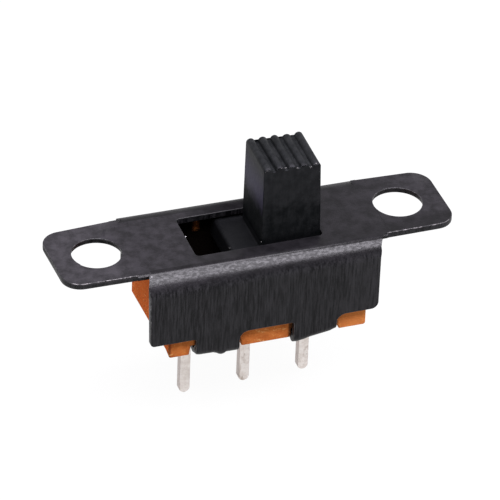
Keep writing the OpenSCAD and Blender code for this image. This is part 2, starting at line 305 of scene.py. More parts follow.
# How far the painted shade and the shaded places go, and how dark the painted shade is beyond the
# knob
PAINTED_SHADE_SHARE = 0.6
SHADED_SHARE = 0.85
BEYOND_KNOB_SHARE = 0.7
# The drawn lines run down the sides, so the noise is long along Z
DOWN_THE_SIDES = (1.0, 1.0, 0.07)


def steel_places(s, x, y):
    """Masks of the sheet: its sides, the painted highlight on its folds, the painted shade, and
    where it is shaded.
    """
    turn = fold_turn(s)
    on_side = s.ramp(turn, *SIDE_TURN)
    to_rear = s.ramp(y, *FRONT_TO_REAR_Y)
    highlight_band = s.band(s.minus(turn, s.times(to_rear, REAR_HIGHLIGHT_SHIFT)), *HIGHLIGHT_TURN)
    # Painted shade beside the slot, beyond the knob, at the folds' start and behind the knob's left
    beside_slot = s.times(s.ramp(y, *BESIDE_SLOT_Y), s.ramp(x, *BESIDE_SLOT_X))
    beyond_knob = s.times(s.band(x, *BEYOND_KNOB_X), BEYOND_KNOB_SHARE)
    far_shade = s.times(s.ramp(y, *FAR_SHADE_Y), s.band(x, *FAR_SHADE_X))
    root_shade = s.band(turn, *ROOT_SHADE_TURN)
    far_fold = s.times(s.ramp(turn, *FAR_FOLD_TURN), to_rear)
    painted_shade = s.larger(s.larger(beside_slot, beyond_knob), s.larger(root_shade, far_shade))
    return on_side, highlight_band, painted_shade, s.times(s.larger(far_shade, far_fold), SHADED_SHARE)


def steel_colour(s, x, on_side, highlight_band, painted_shade, lines, flecks):
    """Mottled on the plate, with painted shade and a left ear painted paler as light, streaked down
    the sides, and painted pale on the folds as a highlight.
    """
    patches = s.noise(1.6, detail=5.0, rough=0.65)
    mottled = s.mix(s.ramp(patches, 0.33, 0.67), *PLATE_COLOURS)
    on_ear = s.mix(s.ramp(patches, 0.30, 0.70), *EAR_COLOURS)
    # Painted light: the left ear painted paler
    mottled = s.mix(s.ramp(x, *LEFT_EAR_X), mottled, on_ear)
    # Painted shade: the plate darkened about the knob, the slot and the folds' start
    mottled = s.mix(s.times(painted_shade, PAINTED_SHADE_SHARE), mottled, PAINTED_SHADE_BLACK)
    broad = s.times(s.noise(1.3, detail=2.0, stretch=DOWN_THE_SIDES), 0.2)
    paler = s.times(s.ramp(x, *PALE_STREAKS_X), 0.055)
    streak = s.plus(lines, s.plus(broad, paler))
    streaked = s.mix(s.ramp(streak, 0.46, 0.76), *SIDE_COLOURS)
    # Painted highlight: paler, speckled colour on the folds' lit band
    painted_highlight = s.mix(s.ramp(flecks, 0.38, 0.66), *HIGHLIGHT_COLOURS)
    return s.mix(highlight_band, s.mix(on_side, mottled, streaked), painted_highlight)


def black_steel():
    """Black oxide on sheet steel: mottled plate with painted shade, a painted highlight on the
    folds, fine lines down the sides.
    """
    s = Shader("black_steel")
    x, y = s.axis("X"), s.axis("Y")
    lines = s.noise(10.5, detail=5.0, rough=0.75, stretch=DOWN_THE_SIDES)
    grain = s.noise(8.0, detail=3.0, rough=0.6)
    flecks = s.noise(8.5, detail=3.0, rough=0.65, stretch=(0.6, 1.0, 1.0))
    on_side, highlight_band, painted_shade, shaded = steel_places(s, x, y)
    colour = steel_colour(s, x, on_side, highlight_band, painted_shade, lines, flecks)
    shine = s.plus(s.times(s.ramp(x, *LEFT_EAR_X), EAR_SHINE), PLATE_SHINE)
    shine = s.plus(shine, s.times(on_side, SIDE_SHINE))
    shine = s.plus(shine, s.times(highlight_band, s.between(s.ramp(flecks, 0.36, 0.70), *HIGHLIGHT_SHINE)))
    shine = s.times(shine, s.rest(shaded))
    rough = s.plus(s.between(grain, 0.22, 0.40), s.times(on_side, s.between(lines, 0.0, 0.14)))
    normal = s.bump(grain, 0.007)
    normal = s.bump(s.times(lines, on_side), 0.006, under=normal)
    normal = s.bump(s.times(flecks, highlight_band), 0.006, under=normal)
    s.put(s.surface, "Specular IOR Level", STEEL_EVEN_SHINE)
    return s.finish(Base_Color=colour, Roughness=rough, Specular_IOR_Level=shine, Normal=normal)


# The cut edges: masks of the slot's edges, by distance from the middle, and of the near edges of
# the ears (mm), and the edges' colours in linear red, green and blue
SLOT_X = (4.4, 4.2)
SLOT_Y = (2.0, 1.8)
NEAR_EDGE_X = (5.7, 5.9)
NEAR_EDGE_Y = (-1.7, -2.1)
EDGE_BLACK = (0.006, 0.0058, 0.0065)
EDGE_WORN = (0.034, 0.033, 0.035)
# Worn ears' near edges, painted paler still as a painted highlight along them
NEAR_EDGE_WEAR_AND_HIGHLIGHT = (0.135, 0.128, 0.130)


def worn_steel():
    """The sheet's cut edges, where the black has rubbed thin in places, though not in the slot; on
    the ears' near edges that wear is painted paler still, as a highlight.
    """
    s = Shader("worn_steel")
    x, y = s.axis("X"), s.axis("Y")
    at_slot = s.times(s.ramp(s.unsigned(x), *SLOT_X), s.ramp(s.unsigned(y), *SLOT_Y))
    wear = s.ramp(s.noise(2.6, detail=5.0, rough=0.75), 0.46, 0.62)
    wear = s.times(wear, s.rest(at_slot))
    # Along the ears' near edges the wear gets a painted highlight
    near_edge = s.times(s.ramp(y, *NEAR_EDGE_Y), s.ramp(s.unsigned(x), *NEAR_EDGE_X))
    colour = s.mix(wear, EDGE_BLACK, s.mix(near_edge, EDGE_WORN, NEAR_EDGE_WEAR_AND_HIGHLIGHT))
    rough = s.between(s.noise(18.0), 0.32, 0.6)
    return s.finish(Base_Color=colour, Roughness=rough, Specular_IOR_Level=0.3)


# The base (mm): the cavity, painted dark as shade; a streak of its far wall, painted lit as a patch
# of light; and the middle foot's right end beside the tab, painted dark as shade; and how soft the
# sides of each box are
CAVITY = ((-4.6, -2.45, -3.6), (4.9, 2.45, 1.0))
CAVITY_SOFT = 0.04
# Painted light: a lit streak on the cavity's far wall
LIT_STREAK = ((-1.93, 2.0, -1.35), (-1.68, 2.6, -0.30))
LIT_STREAK_SOFT = 0.11
# Painted shade: the middle foot's right end, beside the tab
SHADED_FOOT_END = ((1.20, -3.0, -4.9), (1.60, -1.8, -3.9))
SHADED_FOOT_END_SOFT = 0.05
# Where it grows paler to the right, its left end face, and that face's front, tucked in (mm)
PALER_X = (0.5, 5.0)
END_FACE_X = (-4.60, -4.68)
TUCKED_Y = (-2.45, -2.79)
# Its colours, in linear red, green and blue
BROWNS = ((0.315, 0.082, 0.020), (0.45, 0.136, 0.034))
PALER_BROWN = (0.56, 0.205, 0.060)
RUDDY_BROWN = (0.50, 0.095, 0.020)
SHADED_BROWN = (0.060, 0.022, 0.010)
# Colour of the painted shade at the middle foot's end
FOOT_END_SHADE = (0.030, 0.013, 0.008)
SPECKS = (0.52, 0.22, 0.06)
FLAKES = (0.60, 0.32, 0.12)
# Painted shade inside the cavity
CAVITY_SHADE = (0.0035, 0.0025, 0.0020)
# Colour of the painted lit streak
LIT_STREAK_BROWN = (0.34, 0.115, 0.035)


def phenolic():
    """Orange-brown moulding, mottled and nearly dull; its inside is painted dark as shade, all but
    a painted lit streak on its far wall, and the middle foot's right end is painted dark as shade.
    """
    s = Shader("phenolic")
    cloud = s.noise(1.3, detail=4.0, rough=0.6)
    speck = s.noise(9.0, detail=3.0, rough=0.7)
    flake = s.noise(4.5, detail=4.0, rough=0.75, stretch=(0.6, 1.0, 1.6))
    at_end = s.ramp(s.axis("X"), *END_FACE_X)
    tucked = s.times(at_end, s.ramp(s.axis("Y"), *TUCKED_Y))
    # Painted light: a lit streak on the far wall of the cavity, laid over its painted shade
    painted_light = s.times(s.inside(*LIT_STREAK, LIT_STREAK_SOFT), s.ramp(speck, 0.25, 0.55))
    colour = s.layered(s.mix(s.ramp(cloud, 0.35, 0.7), *BROWNS), (
        (s.ramp(s.axis("X"), *PALER_X), 0.45, PALER_BROWN),
        (at_end, 0.75, RUDDY_BROWN),
        (tucked, 0.7, SHADED_BROWN),
        # Painted shade at the middle foot's right end
        (s.inside(*SHADED_FOOT_END, SHADED_FOOT_END_SOFT), 0.9, FOOT_END_SHADE),
        (s.ramp(speck, 0.5, 0.75), 0.5, SPECKS),
        (s.ramp(flake, 0.58, 0.68), 0.75, FLAKES),
        # Painted shade: the cavity painted near black
        (s.inside(*CAVITY, CAVITY_SOFT), 1.0, CAVITY_SHADE),
        (painted_light, 1.0, LIT_STREAK_BROWN)))
    rough = s.between(speck, 0.66, 0.82)
    normal = s.bump(s.noise(12.0, detail=3.0), 0.010)
    return s.finish(Base_Color=colour, Roughness=rough, Specular_IOR_Level=0.004, Normal=normal)


# The terminals' legs (mm): their spacing, half their width, and where their sheared sides start
PIN_PITCH = 3.0
PIN_HALF_WIDTH = 0.265
SHEARED = (PIN_HALF_WIDTH - 0.035, PIN_HALF_WIDTH - 0.010)
# Their colours, in linear red, green and blue
PLATED_COLOURS = ((0.73, 0.665, 0.62), (0.90, 0.85, 0.815))
STAIN_COLOUR = (0.40, 0.32, 0.27)
# The legs' sides: duller sheared metal, and painted shade on the legs' sides
SHEARED_AND_SHADED_COLOUR = (0.43, 0.375, 0.355)


def plating():
    """Dull silvery plating, clouded, faintly stained and pitted, with darker sheared sides, in part
    duller metal and in part painted shade.
    """
    s = Shader("plating")
    cloud = s.noise(2.2, detail=4.0, rough=0.7)
    stain = s.ramp(s.noise(1.9, detail=3.0, rough=0.6, stretch=(1.0, 1.0, 0.5)), 0.58, 0.70)
    pits = s.noise(9.0, detail=4.0, rough=0.7)
    nearest_leg = s.times(s.reckon("ROUND", s.times(s.axis("X"), 1.0 / PIN_PITCH)), PIN_PITCH)
    # Darker sides: sheared metal and painted shade
    sheared_and_shaded = s.ramp(s.unsigned(s.minus(s.axis("X"), nearest_leg)), *SHEARED)
    colour = s.layered(s.mix(s.ramp(cloud, 0.35, 0.65), *PLATED_COLOURS), (
        (stain, 0.7, STAIN_COLOUR),
        (sheared_and_shaded, 0.8, SHEARED_AND_SHADED_COLOUR)))
    rough = s.between(pits, 0.30, 0.62)
    return s.finish(Base_Color=colour, Metallic=0.55, Roughness=rough, Normal=s.bump(pits, 0.020))


# The knob (mm): where it stands, how far its top leans to the left, and the height of its top
KNOB_X = 1.65
KNOB_LEAN = 0.05
KNOB_TOP_Z = 4.12
# Masks of its plastic (mm): painted shade low down, shinier high up and below the plate, and a
# painted sheen on the upper left face
SHADE_BELOW_Z = (0.6, -0.2)
HIGH_UP_Z = (1.8, 2.9)
BELOW_PLATE_Z = (0.0, -0.2)
LEFT_FACE_X = (0.250, 0.246)
LEFT_FACE_Y = (-1.33, -1.30)
LEFT_FACE_Z = (4.1, 2.4)
# Its colours, in linear red, green and blue, and how strongly it mirrors, low down and high up
# and where the nodes aren't read
SKIN_COLOURS = ((0.0030, 0.0035, 0.0037), (0.0078, 0.0084, 0.0088))
# Colour of the painted shade below the plate
SHADE_BELOW_BLACK = (0.0014, 0.0016, 0.0018)
# Painted sheen: pale bluish grey on the upper left face, standing in for the light it mirrors there
LEFT_FACE_SHEEN = (0.019, 0.0168, 0.033)
KNOB_SHINE = (0.022, 0.11)
KNOB_EVEN_SHINE = 0.08
KNOB_TINT = (0.93, 0.90, 1.0, 1.0)


def black_plastic():
    """Black moulded plastic with a fine, slightly rubbed skin; painted shade below the plate, and a
    painted sheen high on its left face.
    """
    s = Shader("black_plastic")
    x, y, z = (s.axis(letter) for letter in "XYZ")
    skin = s.noise(6.0, detail=5.0, rough=0.65)
    blots = s.noise(2.2, detail=3.0, rough=0.6)
    rubs = s.noise(6.0, detail=4.0, rough=0.7, stretch=(1.0, 1.0, 0.15))
    marks = s.plus(s.times(blots, 0.6), s.times(rubs, 0.4))
    high_up = s.ramp(s.plus(z, blots), *HIGH_UP_Z)
    upright_x = s.plus(x, s.times(z, KNOB_LEAN / KNOB_TOP_Z))
    on_left_face = s.times(s.ramp(upright_x, *LEFT_FACE_X), s.ramp(y, *LEFT_FACE_Y))
    # Painted sheen high on the left face
    painted_sheen = s.times(s.times(high_up, on_left_face), s.ramp(z, *LEFT_FACE_Z))
    colour = s.layered(s.mix(s.ramp(marks, 0.38, 0.66), *SKIN_COLOURS), (
        # Painted shade: darker low down and below the plate
        (s.ramp(z, *SHADE_BELOW_Z), 0.8, SHADE_BELOW_BLACK),
        (painted_sheen, 1.0, LEFT_FACE_SHEEN)))
    shine = s.between(s.larger(high_up, s.ramp(z, *BELOW_PLATE_Z)), *KNOB_SHINE)
    rough = s.between(skin, 0.46, 0.62)
    s.put(s.surface, "Specular IOR Level", KNOB_EVEN_SHINE)
    return s.finish(Base_Color=colour, Roughness=rough, Specular_IOR_Level=shine,
                    Specular_Tint=KNOB_TINT, Normal=s.bump(skin, 0.012))


def bronze():
    """Bright spring bronze of the hidden clip."""
    s = Shader("bronze")
    rough = s.between(s.noise(9.0, detail=4.0, stretch=(0.2, 1.0, 1.0)), 0.2, 0.4)
    return s.finish(Base_Color=(0.66, 0.40, 0.20, 1.0), Metallic=1.0, Roughness=rough)


def fleck_finish(name, colour):
    """Paler surface of strewn flecks: of chips, and of painted glints."""
    s = Shader(name)
    rough = s.between(s.noise(20.0), 0.3, 0.6)
    shade = s.mix(s.noise(15.0), [c * 0.5 for c in colour], colour)
    return s.finish(Base_Color=shade, Roughness=rough, Specular_IOR_Level=0.4)


def ease(value, low, high):
    """0 at low, 1 at high, with a smooth run between."""
    t = min(max((value - low) / (high - low), 0.0), 1.0)
    return t * t * (3.0 - 2.0 * t)


def along(points, x):
    """Height at x of a line through (x, height) points, level past its ends."""
    if x <= points[0][0]:
        return points[0][1]
    for (x0, h0), (x1, h1) in zip(points, points[1:]):
        if x <= x1:
            return h0 + (h1 - h0) * (x - x0) / (x1 - x0)
    return points[-1][1]


# A point this close to a cut counts as on it
CUT_SNAP = 0.0002 * MM


def cut(form, axis, place, below=math.inf):
    """Cut new edges where the plane at a place along an axis crosses faces wholly below a height
    (mm)."""
    normal = Vector([float(letter == axis) for letter in "XYZ"])
    faces = [f for f in form.faces if max(v.co.z for v in f.verts) < below * MM]
    edges = {e for f in faces for e in f.edges}
    verts = {v for f in faces for v in f.verts}
    bmesh.ops.bisect_plane(form, geom=[*verts, *edges, *faces], dist=CUT_SNAP,
                           plane_co=place * MM * normal, plane_no=normal)


# How near a point has to lie to a drawn place to count as on it, and a length that is none (mm)
NEAR = 0.01
NOTHING = 0.001
# The folds end before this distance from the middle (mm)
PAST_FOLDS_X = 6.5


def taper_folds(form):
    """Tighten the front fold towards its right end and widen the rear one."""
    for v in form.verts:
        x, y, z = v.co / MM
        out, down = abs(y) - (HALF_SIDES - FOLD_R), z + FOLD_R
        reach = math.hypot(out, down)
        on_sheet = min(abs(reach - FOLD_R), abs(reach - FOLD_R + SHEET_T)) < NEAR
        if min(out, down) < -NOTHING or abs(x) > PAST_FOLDS_X or not on_sheet:
            continue
        right_radius = FRONT_RIGHT_R if y < 0 else REAR_RIGHT_R
        share = min(max((x - FOLD_LEFT_X) / (FOLD_RIGHT_X - FOLD_LEFT_X), 0.0), 1.0)
        radius = FOLD_R + (right_radius - FOLD_R) * share
        scale = (reach - FOLD_R + radius) / reach
        v.co.y = math.copysign(HALF_SIDES - radius + out * scale, y) * MM
        v.co.z = (down * scale - radius) * MM


# Uneven lower edge of the two front tabs: how far each place along X is pressed up (mm)
TAB_PRESS = [(-3.53, 0.22), (-3.42, 0.10), (-3.30, 0.07), (-2.60, 0.05), (-2.42, -0.02),
             (-2.30, -0.10), (-2.20, -0.13), (-2.08, -0.11), (-1.96, -0.03), (-1.40, -0.04),
             (1.33, -0.14), (1.60, -0.16), (1.95, -0.10), (2.20, -0.03), (2.80, 0.06),
             (3.20, 0.12), (3.40, 0.20), (3.55, 0.24)]
# The press starts at the tabs' root and is full at their fold, and only faces that lie wholly
# below the plate are cut for it (mm)
TAB_ROOT_Z = -3.75
TAB_FULL_Z = -4.30
TAB_FRONT_Y = -2.4
TAB_FULL_Y = -2.8
BELOW_PLATE = -1.0


def press_tabs(form):
    """Give the front tabs the uneven lower edge that crimping leaves."""
    cut(form, "Z", TAB_ROOT_Z, below=BELOW_PLATE)
    for x, _ in TAB_PRESS:
        cut(form, "X", x, below=TAB_ROOT_Z + NEAR)
    for v in form.verts:
        x, y, z = v.co / MM
        if z < TAB_ROOT_Z and y < TAB_FRONT_Y:
            share = ease(z, TAB_ROOT_Z, TAB_FULL_Z) * ease(y, TAB_FRONT_Y, TAB_FULL_Y)
            v.co.z += along(TAB_PRESS, x) * share * MM


# Small differences of the folded ends from the drawing (mm): how far the rear fold's left start
# reaches on, and how much shorter the front side is at its two ends
REAR_LEFT_X = (-5.7, -5.2)
REAR_LEFT_Y = 2.0
REAR_LEFT_Z = (-1.1, -0.1)
REAR_LEFT_REACH = 0.25
REAR_LEFT_OVERLAP = 0.12
OVERLAP_Y = (2.2, 2.45)
EAR_ROOT_Y = 2.3
FRONT_SIDE_Y = -2.4
SIDE_ENDS_X = 5.0
FRONT_RIGHT_TRIM = 0.085
FRONT_RIGHT_Z = (-0.3, -0.9)
FRONT_LEFT_TRIM = 0.055
FRONT_LEFT_Z = (-2.0, -2.8)


def trim_ends(form):
    """Lengthen the rear fold's left start, and trim the front side's two ends."""
    for v in form.verts:
        x, y, z = v.co / MM
        at_rear_left = y > REAR_LEFT_Y and REAR_LEFT_X[0] < x < REAR_LEFT_X[1]
        if at_rear_left and abs(y - EAR_ROOT_Y) > NEAR:
            reach = REAR_LEFT_REACH + REAR_LEFT_OVERLAP * ease(y, *OVERLAP_Y)
            v.co.x -= reach * ease(z, *REAR_LEFT_Z) * MM
        if y < FRONT_SIDE_Y and x > SIDE_ENDS_X:
            v.co.x -= FRONT_RIGHT_TRIM * ease(z, *FRONT_RIGHT_Z) * MM
        if y < FRONT_SIDE_Y and x < -SIDE_ENDS_X:
            v.co.x += FRONT_LEFT_TRIM * ease(z, *FRONT_LEFT_Z) * MM


# The screw holes (mm), and how much wider the punch broke out below
HOLE_X = 7.5
HOLE_R = 1.18
HOLE_BREAK = 0.06


def round_holes(form):
    """Give the holes' rims more points on the true circle, and widen them at the underside,
    where the punched slug broke out."""
    def radius(v):
        return math.hypot(abs(v.co.x / MM) - HOLE_X, v.co.y / MM)

    rims = [e for e in form.edges if all(abs(radius(v) - HOLE_R) < NEAR for v in e.verts)
            and abs(e.verts[0].co.z - e.verts[1].co.z) < NEAR * MM]
    bmesh.ops.subdivide_edges(form, edges=rims, cuts=2)
    for v in form.verts:
        if abs(radius(v) - HOLE_R) < 1.5 * NEAR:
            x, y, z = v.co / MM
            centre = math.copysign(HOLE_X, x)
            grown = (HOLE_R + (HOLE_BREAK if z < -SHEET_T / 2 else 0.0)) / radius(v)
            v.co.x = (centre + (x - centre) * grown) * MM
            v.co.y = y * grown * MM


# How far the ears hang at their ends (mm), at the rear and at the front
LEFT_DROOP = (0.050, 0.030)
RIGHT_DROOP = (0.040, 0.065)
DROOP_Y = (-2.2, 2.2)
EAR_BEND_X = 6.3
EAR_END_X = 9.7
DROOP_CUTS = (EAR_BEND_X - 0.1, EAR_BEND_X, 7.0, 8.0, 8.9)
# The ears' ends aren't quite square (mm): the left one is short at its front, and the right one
# long at its front and short at its rear
EAR_TIP_X = 8.5
EAR_TIP_FULL_X = 9.2
LEFT_FRONT_SHORT = 0.06
LEFT_FRONT_Y = (0.5, -1.5)
RIGHT_FRONT_LONG = 0.035
RIGHT_LONG_Y = (0.8, -0.8)
RIGHT_REAR_SHORT = 0.045
RIGHT_SHORT_Y = (0.8, 2.0)


def droop_ears(form):
    """Bend the two ears down a little towards their ends."""
    for x in DROOP_CUTS:
        cut(form, "X", -x)
        cut(form, "X", x)
    for v in form.verts:
        x, y, _ = v.co / MM
        rear, front = LEFT_DROOP if x < 0 else RIGHT_DROOP
        share = ease(y, *DROOP_Y)
        out = max(abs(x) - EAR_BEND_X, 0.0) / (EAR_END_X - EAR_BEND_X)
        v.co.z -= (rear * share + front * (1.0 - share)) * out * MM


def skew_ear_tips(form):
    """Set the ears' ends a little out of square."""
    for v in form.verts:
        x, y, _ = v.co / MM
        if x < -EAR_TIP_X:
            v.co.x += LEFT_FRONT_SHORT * ease(y, *LEFT_FRONT_Y) * MM
        if x > EAR_TIP_X:
            longer = RIGHT_FRONT_LONG * ease(y, *RIGHT_LONG_Y)
            shorter = RIGHT_REAR_SHORT * ease(y, *RIGHT_SHORT_Y)
            v.co.x += (longer - shorter) * ease(x, EAR_TIP_X, EAR_TIP_FULL_X) * MM


def shape_sheet(form):
    """All that the folding, crimping and handling did to the sheet."""
    taper_folds(form)
    press_tabs(form)
    trim_ends(form)
    round_holes(form)
    droop_ears(form)
    skew_ear_tips(form)


# How far the base's left end slopes in at its foot, by place along Y (mm), and over which heights
END_SLOPE = [(-2.79, 0.05), (-2.1, 0.10), (0.0, 0.05), (2.79, 0.0)]
SLOPE_Z = (-3.0, -4.2)
SLOPE_CUTS_Z = (-3.0, -3.5, -4.0)
LEFT_END_X = -4.6
# The middle foot's right end (mm): where it is drawn, and where it ends here
FOOT_END_X = (1.1, 1.25)
FOOT_LONGER_X = 1.33
FEET_BELOW = -4.1


def shape_base(form):
    """Slope the left end in towards its foot, and run the middle foot on beside the tab."""
    for z in SLOPE_CUTS_Z:
        cut(form, "Z", z)
    for y, _ in END_SLOPE[1:-1]:
        cut(form, "Y", y)
    for v in form.verts:
        x, y, z = v.co / MM
        if x < LEFT_END_X:
            v.co.x += along(END_SLOPE, y) * ease(z, *SLOPE_Z) * MM
        if FOOT_END_X[0] < x < FOOT_END_X[1] and z < FEET_BELOW:
            v.co.x = FOOT_LONGER_X * MM


# How much shorter than the drawing each leg was cut (mm), and where its tip starts
PIN_CUT = {"left": 0.0, "middle": 0.075, "right": 0.13}
PIN_TIP_Z = (-8.0, -8.3)


def shape_pin(side):
    """A shaper that cuts one leg off a little above its drawn length."""
    def shape_leg(form):
        for v in form.verts:
            v.co.z += PIN_CUT[side] * ease(v.co.z / MM, *PIN_TIP_Z) * MM
    return shape_leg


# The hidden carriage (mm): its plan, the height it lies below, and the radius of its corners
CARRIAGE_HALF_L = 2.81
CARRIAGE_HALF_W = 2.23
CARRIAGE_BELOW = -0.35
CARRIAGE_CORNER_R = 0.2


def round_carriage(form):
    """Round the carriage's upright corners, so that they clear the cavity's at the travel's end."""
    start = CARRIAGE_HALF_L - CARRIAGE_CORNER_R
    for degrees in (0, 30, 60):
        reach = start + CARRIAGE_CORNER_R * math.sin(math.radians(degrees))
        cut(form, "X", KNOB_X - reach, below=CARRIAGE_BELOW)
        cut(form, "X", KNOB_X + reach, below=CARRIAGE_BELOW)
    for v in form.verts:
        x, y, z = v.co / MM
        past = (abs(x - KNOB_X) - start) / CARRIAGE_CORNER_R
        if z < CARRIAGE_BELOW and past > 0.0 and abs(y) > CARRIAGE_HALF_W - NEAR:
            inward = CARRIAGE_CORNER_R * (1.0 - math.sqrt(max(1.0 - past * past, 0.0)))
            v.co.y -= math.copysign(inward, y) * MM


# The knob's top (mm): it is worn lower to the right, its grooves are part filled there, and its
# ridges are rubbed round at the front and run full to the rear
KNOB_WEAR = [(0.2, -0.01), (1.0, 0.01), (1.65, 0.026), (2.2, 0.09), (2.8, 0.068)]
RIGHT_RIDGE_X = 2.6
RIGHT_FRONT_WEAR = 0.06
RIGHT_FRONT_Y = (1.2, -0.4)
GROOVE_FILL = 0.05
GROOVE_Z = (4.0, 3.88)
FILLED_X = (0.8, 2.4)
RIDGE_FOOT_Z = 3.8
RIDGE_END_Z = 4.02
RIDGE_END_Y = 1.335
PAST_RIDGES_Y = 1.2
RUB_START_Y = -1.06
# The ridges' spacing (mm), and what share of its height each has lost in front, left to right
RIDGE_PITCH = 0.596
RIDGE_RUB = (0.25, 0.45, 0.30, 0.40, 0.22)


def rubbed_off(x, z):
    """How much lower the front end of the ridge at x lies, at a drawn height (mm)."""
    last = len(RIDGE_RUB) - 1
    ridge = int(min(max((x - KNOB_X) / RIDGE_PITCH + len(RIDGE_RUB) / 2, 0), last))
    return RIDGE_RUB[ridge] * (z - RIDGE_END_Z)


def worn_off(x, y, z):
    """How much lower a drawn place of the top lies (mm)."""
    worn = along(KNOB_WEAR, x) - GROOVE_FILL * ease(z, *GROOVE_Z) * ease(x, *FILLED_X)
    if x > RIGHT_RIDGE_X:
        worn += RIGHT_FRONT_WEAR * ease(y, *RIGHT_FRONT_Y)
    return worn


def shape_knob(form):
    """Round the carriage's corners, lean the knob a little, and wear its ridged top."""
    round_carriage(form)
    cut(form, "Y", RUB_START_Y)
    for v in form.verts:
        x, y, z = v.co / MM
        if z > RIDGE_END_Z and y < -PAST_RIDGES_Y:
            v.co.z -= rubbed_off(x, z) * MM
        if z > RIDGE_END_Z and y > PAST_RIDGES_Y:
            v.co.y = RIDGE_END_Y * MM
        if z > 0:
            v.co.x -= KNOB_LEAN * z / KNOB_TOP_Z * MM
        if z > RIDGE_FOOT_Z:
            v.co.z -= worn_off(x, y, z) * MM


# A corner sharper than this gets a bevel
BEVEL_ANGLE = math.radians(40)
# Points closer than this are one, and faces flatter than this are joined
MERGE_DISTANCE = 0.0005 * MM
FLAT_ANGLE = math.radians(0.4)
# Where an ear, a fold and the plate meet: distances from the middle, and the least height (mm)
ROOT_X = (5.2, 6.0)
ROOT_Y = (1.6, 2.6)
ROOT_Z = -0.6


def at_fold_root(v):
    """True for points where an ear, a fold and the plate meet, whose edges stay sharp."""
    x, y, z = v.co / MM
    return ROOT_X[0] < abs(x) < ROOT_X[1] and ROOT_Y[0] < abs(y) < ROOT_Y[1] and z > ROOT_Z


def mark_edges(form, stay_sharp):
    """Weight the corner edges that get a bevel."""
    weights = form.edges.layers.float.new("bevel_weight_edge")
    for edge in form.edges:
        if len(edge.link_faces) == 2 and edge.calc_face_angle() > BEVEL_ANGLE:
            if not any(stay_sharp(v) for v in edge.verts):
                edge[weights] = 1.0


def shaped_mesh(source, name, shape, stay_sharp):
    """A copy of a CAD mesh with merged points and faces, then shaped, its corner edges marked."""
    mesh = source.data.copy()
    mesh.name = name
    form = bmesh.new()
    form.from_mesh(mesh)
    bmesh.ops.remove_doubles(form, verts=form.verts, dist=MERGE_DISTANCE)
    bmesh.ops.dissolve_limit(form, angle_limit=FLAT_ANGLE, verts=form.verts, edges=form.edges)
    shape(form)
    mark_edges(form, stay_sharp)
    form.to_mesh(mesh)
    form.free()
    return mesh


def round_edges(piece, edge_mm, edge_slot):
    """Bevel the marked edges, in a material of their own if one is given, and keep faces flat."""
    bevel = piece.modifiers.new("edges", "BEVEL")
    bevel.width = edge_mm * MM
    bevel.segments = 2
    bevel.limit_method = "WEIGHT"
    bevel.use_clamp_overlap = False
    bevel.material = edge_slot
    flat = piece.modifiers.new("flat_faces", "WEIGHTED_NORMAL")
    flat.mode = "FACE_AREA"
    flat.weight = 50


def finished_copy(node, name, materials, edge_mm, shape, edge_slot=-1, stay_sharp=lambda v: False):
    """A shaped copy of a CAD node with small rounded edges, which stands for the node."""
    source = frame["nodes"][node]
    mesh = shaped_mesh(source, name, shape, stay_sharp)
    mesh.materials.clear()
    for material in materials:
        mesh.materials.append(material)
    mesh.polygons.foreach_set("material_index", [0] * len(mesh.polygons))
    mesh.polygons.foreach_set("use_smooth", [True] * len(mesh.polygons))
    piece = bpy.data.objects.new(name, mesh)
    bpy.context.scene.collection.objects.link(piece)
    round_edges(piece, edge_mm, edge_slot)
    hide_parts(node)
    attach(piece, source["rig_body"])


# How the flecks, chips and painted glints alike, lie about their spot, as shares of their reach,
# how their round form is stretched, and how they are turned (radians)
FLECK_SPREAD = ((-1.0, -0.4, -0.5), (1.0, 0.4, 0.5))
FLECK_STRETCH = ((0.5, 0.35, 0.35), (1.4, 0.8, 0.8))
FLECK_TURN = ((0.0, 0.0, 0.0), (6.28, 6.28, 6.28))


def random_vector(tree, span, seed):
    """A node that gives each point its own vector within a span."""
    node = tree.nodes.new("FunctionNodeRandomValue")
    node.data_type = "FLOAT_VECTOR"
    node.inputs["Min"].default_value, node.inputs["Max"].default_value = span
    tree.links.new(seed, node.inputs["Seed"])
    return node


